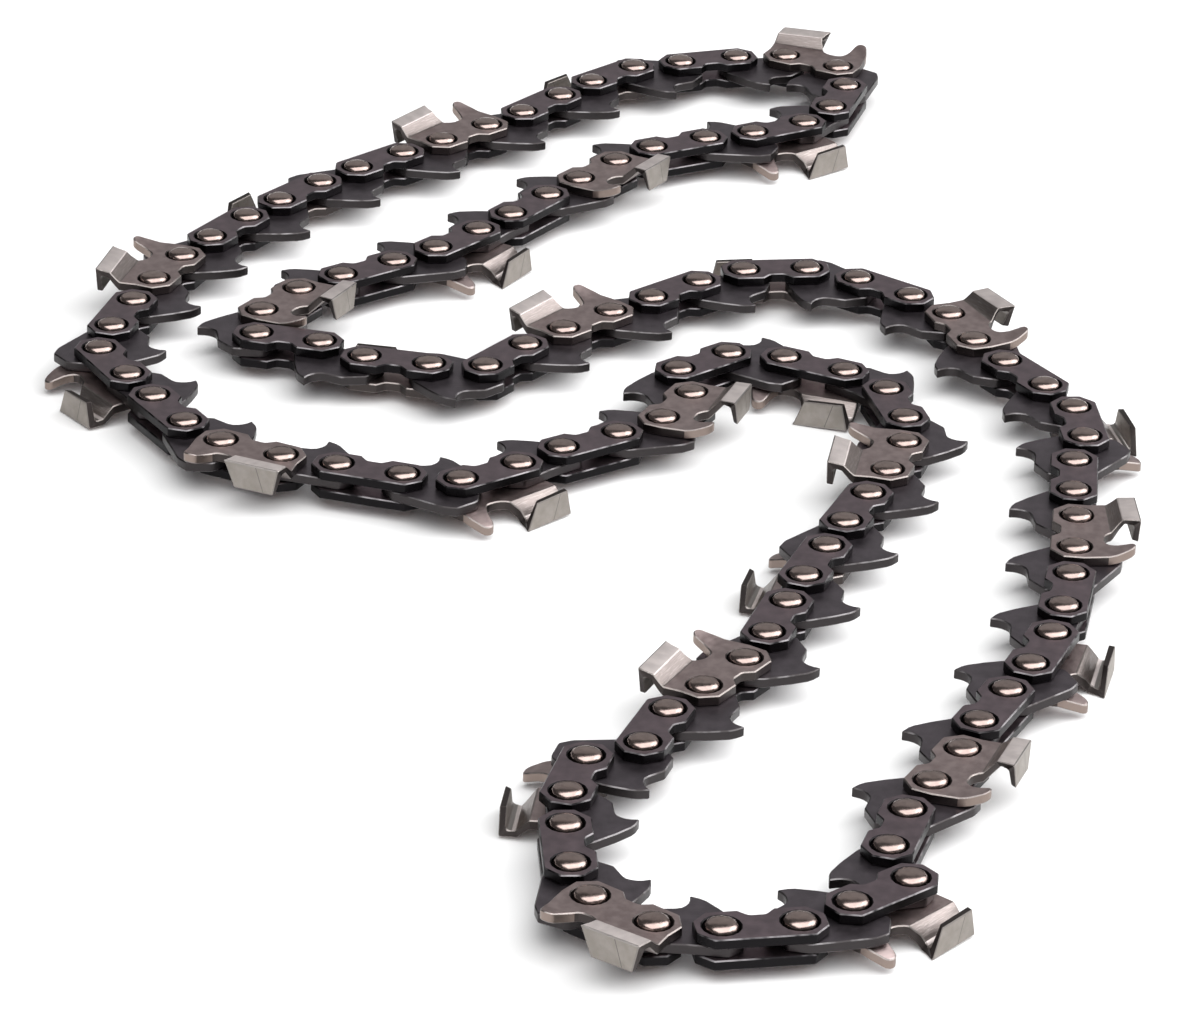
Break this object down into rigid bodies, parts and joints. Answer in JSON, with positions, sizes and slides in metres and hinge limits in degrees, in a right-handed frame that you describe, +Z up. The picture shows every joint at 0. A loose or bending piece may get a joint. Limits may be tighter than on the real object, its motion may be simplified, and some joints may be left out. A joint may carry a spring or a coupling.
{
  "type": "saw chain loop",
  "caption": "Closed saw chain lying on its side: drive links with tangs, tie straps and alternating left and right cutters, riveted so that it bends at each link.",
  "frame": {"origin": "centre of the loop's outline, on the surface that it lies on", "axes": "+Z up along the rivets, +Y along the loop's longest extent"},
  "size_m": [0.1688, 0.32, 0.0086],
  "materials": {
    "plain_link_steel": "dark oiled steel, punched and tumbled",
    "cutter_link_steel": "plated cutter on dark oiled links"
  },
  "bodies": {
    "link_01": {"link_01_tie_straps": "plain_link_steel"},
    "link_02": {"link_02_right_cutter": "cutter_link_steel"},
    "link_03": {"link_03_tie_straps": "plain_link_steel"},
    "link_04": {"link_04_left_cutter": "cutter_link_steel"},
    "link_05": {"link_05_tie_straps": "plain_link_steel"},
    "link_06": {"link_06_right_cutter": "cutter_link_steel"},
    "link_07": {"link_07_tie_straps": "plain_link_steel"},
    "link_08": {"link_08_left_cutter": "cutter_link_steel"},
    "link_09": {"link_09_tie_straps": "plain_link_steel"},
    "link_10": {"link_10_right_cutter": "cutter_link_steel"},
    "link_11": {"link_11_tie_straps": "plain_link_steel"},
    "link_12": {"link_12_left_cutter": "cutter_link_steel"},
    "link_13": {"link_13_tie_straps": "plain_link_steel"},
    "link_14": {"link_14_right_cutter": "cutter_link_steel"},
    "link_15": {"link_15_tie_straps": "plain_link_steel"},
    "link_16": {"link_16_left_cutter": "cutter_link_steel"},
    "link_17": {"link_17_tie_straps": "plain_link_steel"},
    "link_18": {"link_18_right_cutter": "cutter_link_steel"},
    "link_19": {"link_19_tie_straps": "plain_link_steel"},
    "link_20": {"link_20_left_cutter": "cutter_link_steel"},
    "link_21": {"link_21_tie_straps": "plain_link_steel"},
    "link_22": {"link_22_right_cutter": "cutter_link_steel"},
    "link_23": {"link_23_tie_straps": "plain_link_steel"},
    "link_24": {"link_24_left_cutter": "cutter_link_steel"},
    "link_25": {"link_25_tie_straps": "plain_link_steel"},
    "link_26": {"link_26_right_cutter": "cutter_link_steel"},
    "link_27": {"link_27_tie_straps": "plain_link_steel"},
    "link_28": {"link_28_left_cutter": "cutter_link_steel"},
    "link_29": {"link_29_tie_straps": "plain_link_steel"},
    "link_30": {"link_30_right_cutter": "cutter_link_steel"},
    "link_31": {"link_31_tie_straps": "plain_link_steel"},
    "link_32": {"link_32_left_cutter": "cutter_link_steel"},
    "link_33": {"link_33_tie_straps": "plain_link_steel"},
    "link_34": {"link_34_right_cutter": "cutter_link_steel"},
    "link_35": {"link_35_tie_straps": "plain_link_steel"},
    "link_36": {"link_36_left_cutter": "cutter_link_steel"},
    "link_37": {"link_37_tie_straps": "plain_link_steel"},
    "link_38": {"link_38_right_cutter": "cutter_link_steel"},
    "link_39": {"link_39_tie_straps": "plain_link_steel"},
    "link_40": {"link_40_left_cutter": "cutter_link_steel"},
    "link_41": {"link_41_tie_straps": "plain_link_steel"},
    "link_42": {"link_42_right_cutter": "cutter_link_steel"},
    "link_43": {"link_43_tie_straps": "plain_link_steel"},
    "link_44": {"link_44_left_cutter": "cutter_link_steel"},
    "link_45": {"link_45_tie_straps": "plain_link_steel"},
    "link_46": {"link_46_right_cutter": "cutter_link_steel"},
    "link_47": {"link_47_tie_straps": "plain_link_steel"},
    "link_48": {"link_48_left_cutter": "cutter_link_steel"},
    "link_49": {"link_49_tie_straps": "plain_link_steel"},
    "link_50": {"link_50_right_cutter": "cutter_link_steel"},
    "link_51": {"link_51_tie_straps": "plain_link_steel"},
    "link_52": {"link_52_left_cutter": "cutter_link_steel"},
    "link_53": {"link_53_tie_straps": "plain_link_steel"},
    "link_54": {"link_54_right_cutter": "cutter_link_steel"},
    "link_55": {"link_55_tie_straps": "plain_link_steel"},
    "link_56": {"link_56_left_cutter": "cutter_link_steel"}
  },
  "joints": [
    {"name": "pivot_02", "type": "hinge", "parent": "link_01", "child": "link_02", "pos_m": [0.0109, -0.15093, 0.00431], "axis": [0, 0, 1], "range_deg": [-35.6, 119.4]},
    {"name": "pivot_03", "type": "hinge", "parent": "link_02", "child": "link_03", "pos_m": [0, -0.13636, 0.00431], "axis": [0, 0, 1], "range_deg": [-56.8, 98.2]},
    {"name": "pivot_04", "type": "hinge", "parent": "link_03", "child": "link_04", "pos_m": [-0.00079, -0.11735, 0.00431], "axis": [0, 0, 1], "range_deg": [-57.5, 97.5]},
    {"name": "pivot_05", "type": "hinge", "parent": "link_04", "child": "link_05", "pos_m": [0.00915, -0.10299, 0.00431], "axis": [0, 0, 1], "range_deg": [-111.3, 43.7]},
    {"name": "pivot_06", "type": "hinge", "parent": "link_05", "child": "link_06", "pos_m": [0.01743, -0.08602, 0.00431], "axis": [0, 0, 1], "range_deg": [-70.4, 84.6]},
    {"name": "pivot_07", "type": "hinge", "parent": "link_06", "child": "link_07", "pos_m": [0.02641, -0.06934, 0.00431], "axis": [0, 0, 1], "range_deg": [-74.8, 80.2]},
    {"name": "pivot_08", "type": "hinge", "parent": "link_07", "child": "link_08", "pos_m": [0.03196, -0.05111, 0.00431], "axis": [0, 0, 1], "range_deg": [-67.4, 87.6]},
    {"name": "pivot_09", "type": "hinge", "parent": "link_08", "child": "link_09", "pos_m": [0.03829, -0.03315, 0.00431], "axis": [0, 0, 1], "range_deg": [-68.6, 86.4]},
    {"name": "pivot_10", "type": "hinge", "parent": "link_09", "child": "link_10", "pos_m": [0.04502, -0.01533, 0.00431], "axis": [0, 0, 1], "range_deg": [-74.6, 80.4]},
    {"name": "pivot_11", "type": "hinge", "parent": "link_10", "child": "link_11", "pos_m": [0.04835, 0.00331, 0.00431], "axis": [0, 0, 1], "range_deg": [-87.6, 67.4]},
    {"name": "pivot_12", "type": "hinge", "parent": "link_11", "child": "link_12", "pos_m": [0.03952, 0.0194, 0.00431], "axis": [0, 0, 1], "range_deg": [-90, 65]},
    {"name": "pivot_13", "type": "hinge", "parent": "link_12", "child": "link_13", "pos_m": [0.02145, 0.02467, 0.00431], "axis": [0, 0, 1], "range_deg": [-117.3, 37.7]},
    {"name": "pivot_14", "type": "hinge", "parent": "link_13", "child": "link_14", "pos_m": [0.01567, 0.00945, 0.00431], "axis": [0, 0, 1], "range_deg": [-31.3, 123.7]},
    {"name": "pivot_15", "type": "hinge", "parent": "link_14", "child": "link_15", "pos_m": [0.00464, -0.00558, 0.00431], "axis": [0, 0, 1], "range_deg": [-64.1, 90.9]},
    {"name": "pivot_16", "type": "hinge", "parent": "link_15", "child": "link_16", "pos_m": [-0.01021, -0.01743, 0.00431], "axis": [0, 0, 1], "range_deg": [-63.1, 91.9]},
    {"name": "pivot_17", "type": "hinge", "parent": "link_16", "child": "link_17", "pos_m": [-0.02726, -0.02263, 0.00431], "axis": [0, 0, 1], "range_deg": [-59.9, 95.1]},
    {"name": "pivot_18", "type": "hinge", "parent": "link_17", "child": "link_18", "pos_m": [-0.04563, -0.01761, 0.00431], "axis": [0, 0, 1], "range_deg": [-59.6, 95.4]},
    {"name": "pivot_19", "type": "hinge", "parent": "link_18", "child": "link_19", "pos_m": [-0.06099, -0.00688, 0.00431], "axis": [0, 0, 1], "range_deg": [-58.8, 96.2]},
    {"name": "pivot_20", "type": "hinge", "parent": "link_19", "child": "link_20", "pos_m": [-0.07108, 0.00927, 0.00431], "axis": [0, 0, 1], "range_deg": [-68.8, 86.2]},
    {"name": "pivot_21", "type": "hinge", "parent": "link_20", "child": "link_21", "pos_m": [-0.07513, 0.02684, 0.00431], "axis": [0, 0, 1], "range_deg": [-63.2, 91.8]},
    {"name": "pivot_22", "type": "hinge", "parent": "link_21", "child": "link_22", "pos_m": [-0.07012, 0.04522, 0.00431], "axis": [0, 0, 1], "range_deg": [-65.1, 89.9]},
    {"name": "pivot_23", "type": "hinge", "parent": "link_22", "child": "link_23", "pos_m": [-0.06244, 0.06262, 0.00431], "axis": [0, 0, 1], "range_deg": [-66.1, 88.9]},
    {"name": "pivot_24", "type": "hinge", "parent": "link_23", "child": "link_24", "pos_m": [-0.05226, 0.07872, 0.00431], "axis": [0, 0, 1], "range_deg": [-67.1, 87.9]},
    {"name": "pivot_25", "type": "hinge", "parent": "link_24", "child": "link_25", "pos_m": [-0.04031, 0.09354, 0.00431], "axis": [0, 0, 1], "range_deg": [-66.2, 88.8]},
    {"name": "pivot_26", "type": "hinge", "parent": "link_25", "child": "link_26", "pos_m": [-0.02668, 0.10685, 0.00431], "axis": [0, 0, 1], "range_deg": [-70.7, 84.3]},
    {"name": "pivot_27", "type": "hinge", "parent": "link_26", "child": "link_27", "pos_m": [-0.01342, 0.12051, 0.00431], "axis": [0, 0, 1], "range_deg": [-74.4, 80.6]},
    {"name": "pivot_28", "type": "hinge", "parent": "link_27", "child": "link_28", "pos_m": [-0.00176, 0.13557, 0.00431], "axis": [0, 0, 1], "range_deg": [-62.9, 92.1]},
    {"name": "pivot_30", "type": "hinge", "parent": "link_30", "child": "link_29", "pos_m": [0.03205, 0.15072, 0.00431], "axis": [0, 0, 1], "range_deg": [-120.5, 34.5]},
    {"name": "pivot_31", "type": "hinge", "parent": "link_31", "child": "link_30", "pos_m": [0.04243, 0.13751, 0.00431], "axis": [0, 0, 1], "range_deg": [-107.7, 47.3]},
    {"name": "pivot_32", "type": "hinge", "parent": "link_32", "child": "link_31", "pos_m": [0.03494, 0.12024, 0.00431], "axis": [0, 0, 1], "range_deg": [-111.3, 43.7]},
    {"name": "pivot_33", "type": "hinge", "parent": "link_33", "child": "link_32", "pos_m": [0.01796, 0.11173, 0.00431], "axis": [0, 0, 1], "range_deg": [-78.4, 76.6]},
    {"name": "pivot_34", "type": "hinge", "parent": "link_34", "child": "link_33", "pos_m": [0.00293, 0.10043, 0.00431], "axis": [0, 0, 1], "range_deg": [-78, 77]},
    {"name": "pivot_35", "type": "hinge", "parent": "link_35", "child": "link_34", "pos_m": [-0.00826, 0.08501, 0.00431], "axis": [0, 0, 1], "range_deg": [-83.7, 71.3]},
    {"name": "pivot_36", "type": "hinge", "parent": "link_36", "child": "link_35", "pos_m": [-0.01917, 0.06939, 0.00431], "axis": [0, 0, 1], "range_deg": [-89.3, 65.7]},
    {"name": "pivot_37", "type": "hinge", "parent": "link_37", "child": "link_36", "pos_m": [-0.03232, 0.05567, 0.00431], "axis": [0, 0, 1], "range_deg": [-88.9, 66.1]},
    {"name": "pivot_38", "type": "hinge", "parent": "link_38", "child": "link_37", "pos_m": [-0.04683, 0.04337, 0.00431], "axis": [0, 0, 1], "range_deg": [-69.6, 85.4]},
    {"name": "pivot_39", "type": "hinge", "parent": "link_39", "child": "link_38", "pos_m": [-0.05237, 0.02582, 0.00431], "axis": [0, 0, 1], "range_deg": [-6.4, 148.6]},
    {"name": "pivot_40", "type": "hinge", "parent": "link_40", "child": "link_39", "pos_m": [-0.0351, 0.01861, 0.00431], "axis": [0, 0, 1], "range_deg": [-61.8, 93.2]},
    {"name": "pivot_41", "type": "hinge", "parent": "link_41", "child": "link_40", "pos_m": [-0.01625, 0.01671, 0.00431], "axis": [0, 0, 1], "range_deg": [-30.8, 124.2]},
    {"name": "pivot_42", "type": "hinge", "parent": "link_42", "child": "link_41", "pos_m": [-0.00449, 0.03166, 0.00431], "axis": [0, 0, 1], "range_deg": [-88.7, 66.3]},
    {"name": "pivot_43", "type": "hinge", "parent": "link_43", "child": "link_42", "pos_m": [0.00928, 0.04483, 0.00431], "axis": [0, 0, 1], "range_deg": [-84.9, 70.1]},
    {"name": "pivot_44", "type": "hinge", "parent": "link_44", "child": "link_43", "pos_m": [0.0241, 0.05671, 0.00431], "axis": [0, 0, 1], "range_deg": [-110.8, 44.2]},
    {"name": "pivot_45", "type": "hinge", "parent": "link_45", "child": "link_44", "pos_m": [0.04242, 0.05497, 0.00431], "axis": [0, 0, 1], "range_deg": [-99.4, 55.6]},
    {"name": "pivot_46", "type": "hinge", "parent": "link_46", "child": "link_45", "pos_m": [0.05658, 0.04238, 0.00431], "axis": [0, 0, 1], "range_deg": [-106.8, 48.2]},
    {"name": "pivot_47", "type": "hinge", "parent": "link_47", "child": "link_46", "pos_m": [0.06467, 0.02524, 0.00431], "axis": [0, 0, 1], "range_deg": [-82.3, 72.7]},
    {"name": "pivot_48", "type": "hinge", "parent": "link_48", "child": "link_47", "pos_m": [0.07448, 0.00895, 0.00431], "axis": [0, 0, 1], "range_deg": [-106.8, 48.2]},
    {"name": "pivot_49", "type": "hinge", "parent": "link_49", "child": "link_48", "pos_m": [0.0734, -0.00979, 0.00431], "axis": [0, 0, 1], "range_deg": [-75.2, 79.8]},
    {"name": "pivot_50", "type": "hinge", "parent": "link_50", "child": "link_49", "pos_m": [0.07261, -0.02882, 0.00431], "axis": [0, 0, 1], "range_deg": [-89.9, 65.1]},
    {"name": "pivot_51", "type": "hinge", "parent": "link_51", "child": "link_50", "pos_m": [0.0706, -0.04776, 0.00431], "axis": [0, 0, 1], "range_deg": [-87.4, 67.6]},
    {"name": "pivot_52", "type": "hinge", "parent": "link_52", "child": "link_51", "pos_m": [0.06689, -0.06643, 0.00431], "axis": [0, 0, 1], "range_deg": [-92, 63]},
    {"name": "pivot_53", "type": "hinge", "parent": "link_53", "child": "link_52", "pos_m": [0.0596, -0.08402, 0.00431], "axis": [0, 0, 1], "range_deg": [-84.9, 70.1]},
    {"name": "pivot_54", "type": "hinge", "parent": "link_54", "child": "link_53", "pos_m": [0.05265, -0.10171, 0.00431], "axis": [0, 0, 1], "range_deg": [-93.7, 61.3]},
    {"name": "pivot_55", "type": "hinge", "parent": "link_55", "child": "link_54", "pos_m": [0.04453, -0.11894, 0.00431], "axis": [0, 0, 1], "range_deg": [-76.2, 78.8]},
    {"name": "pivot_56", "type": "hinge", "parent": "link_56", "child": "link_55", "pos_m": [0.04439, -0.13724, 0.00431], "axis": [0, 0, 1], "range_deg": [-151.5, 3.5]},
    {"name": "pivot_01", "type": "hinge", "parent": "link_01", "child": "link_56", "pos_m": [0.02974, -0.14941, 0.00431], "axis": [0, 0, 1], "range_deg": [-7.2, 7.2]}
  ],
  "couplings": [
    {"joint": "pivot_02", "follows": "pivot_01", "ratio": -0.91853},
    {"joint": "pivot_03", "follows": "pivot_01", "ratio": 1.0513},
    {"joint": "pivot_04", "follows": "pivot_01", "ratio": 1.4497},
    {"joint": "pivot_05", "follows": "pivot_01", "ratio": 0.35798},
    {"joint": "pivot_06", "follows": "pivot_01", "ratio": -1.0403},
    {"joint": "pivot_07", "follows": "pivot_01", "ratio": -1.6802},
    {"joint": "pivot_08", "follows": "pivot_01", "ratio": -1.2263},
    {"joint": "pivot_09", "follows": "pivot_01", "ratio": 0.9123},
    {"joint": "pivot_10", "follows": "pivot_01", "ratio": 1.4828},
    {"joint": "pivot_11", "follows": "pivot_01", "ratio": -0.66566},
    {"joint": "pivot_12", "follows": "pivot_01", "ratio": -0.46167},
    {"joint": "pivot_13", "follows": "pivot_01", "ratio": -0.47713},
    {"joint": "pivot_14", "follows": "pivot_01", "ratio": 1.1188},
    {"joint": "pivot_15", "follows": "pivot_01", "ratio": 1.3273},
    {"joint": "pivot_16", "follows": "pivot_01", "ratio": 0.87699},
    {"joint": "pivot_17", "follows": "pivot_01", "ratio": -1.0247},
    {"joint": "pivot_18", "follows": "pivot_01", "ratio": -1.1608},
    {"joint": "pivot_19", "follows": "pivot_01", "ratio": -1.0518},
    {"joint": "pivot_20", "follows": "pivot_01", "ratio": 1.3203},
    {"joint": "pivot_21", "follows": "pivot_01", "ratio": 1.2396},
    {"joint": "pivot_22", "follows": "pivot_01", "ratio": -1.5494},
    {"joint": "pivot_23", "follows": "pivot_01", "ratio": -0.843},
    {"joint": "pivot_24", "follows": "pivot_01", "ratio": 0.86998},
    {"joint": "pivot_25", "follows": "pivot_01", "ratio": 1.7327},
    {"joint": "pivot_26", "follows": "pivot_01", "ratio": -0.78563},
    {"joint": "pivot_27", "follows": "pivot_01", "ratio": -1.4136},
    {"joint": "pivot_28", "follows": "pivot_01", "ratio": -1.0409},
    {"joint": "pivot_30", "follows": "pivot_01", "ratio": 0.21161},
    {"joint": "pivot_31", "follows": "pivot_01", "ratio": 0.45931},
    {"joint": "pivot_32", "follows": "pivot_01", "ratio": 1.3145},
    {"joint": "pivot_33", "follows": "pivot_01", "ratio": -1.3945},
    {"joint": "pivot_34", "follows": "pivot_01", "ratio": -1.2646},
    {"joint": "pivot_35", "follows": "pivot_01", "ratio": -0.9744},
    {"joint": "pivot_36", "follows": "pivot_01", "ratio": 0.62062},
    {"joint": "pivot_37", "follows": "pivot_01", "ratio": 1.1606},
    {"joint": "pivot_38", "follows": "pivot_01", "ratio": 0.38951},
    {"joint": "pivot_39", "follows": "pivot_01", "ratio": -0.25504},
    {"joint": "pivot_40", "follows": "pivot_01", "ratio": -0.47881},
    {"joint": "pivot_41", "follows": "pivot_01", "ratio": -0.49257},
    {"joint": "pivot_42", "follows": "pivot_01", "ratio": 0.50986},
    {"joint": "pivot_43", "follows": "pivot_01", "ratio": 0.59682},
    {"joint": "pivot_44", "follows": "pivot_01", "ratio": 1.3751},
    {"joint": "pivot_45", "follows": "pivot_01", "ratio": -1.6247},
    {"joint": "pivot_46", "follows": "pivot_01", "ratio": -1.5742},
    {"joint": "pivot_47", "follows": "pivot_01", "ratio": -0.65391},
    {"joint": "pivot_48", "follows": "pivot_01", "ratio": 1.6244},
    {"joint": "pivot_49", "follows": "pivot_01", "ratio": 1.18},
    {"joint": "pivot_50", "follows": "pivot_01", "ratio": -0.53215},
    {"joint": "pivot_51", "follows": "pivot_01", "ratio": -0.87065},
    {"joint": "pivot_52", "follows": "pivot_01", "ratio": 1.2077},
    {"joint": "pivot_53", "follows": "pivot_01", "ratio": 1.1448},
    {"joint": "pivot_54", "follows": "pivot_01", "ratio": -0.91961},
    {"joint": "pivot_55", "follows": "pivot_01", "ratio": -1.6214},
    {"joint": "pivot_56", "follows": "pivot_01", "ratio": -0.26225}
  ]
}
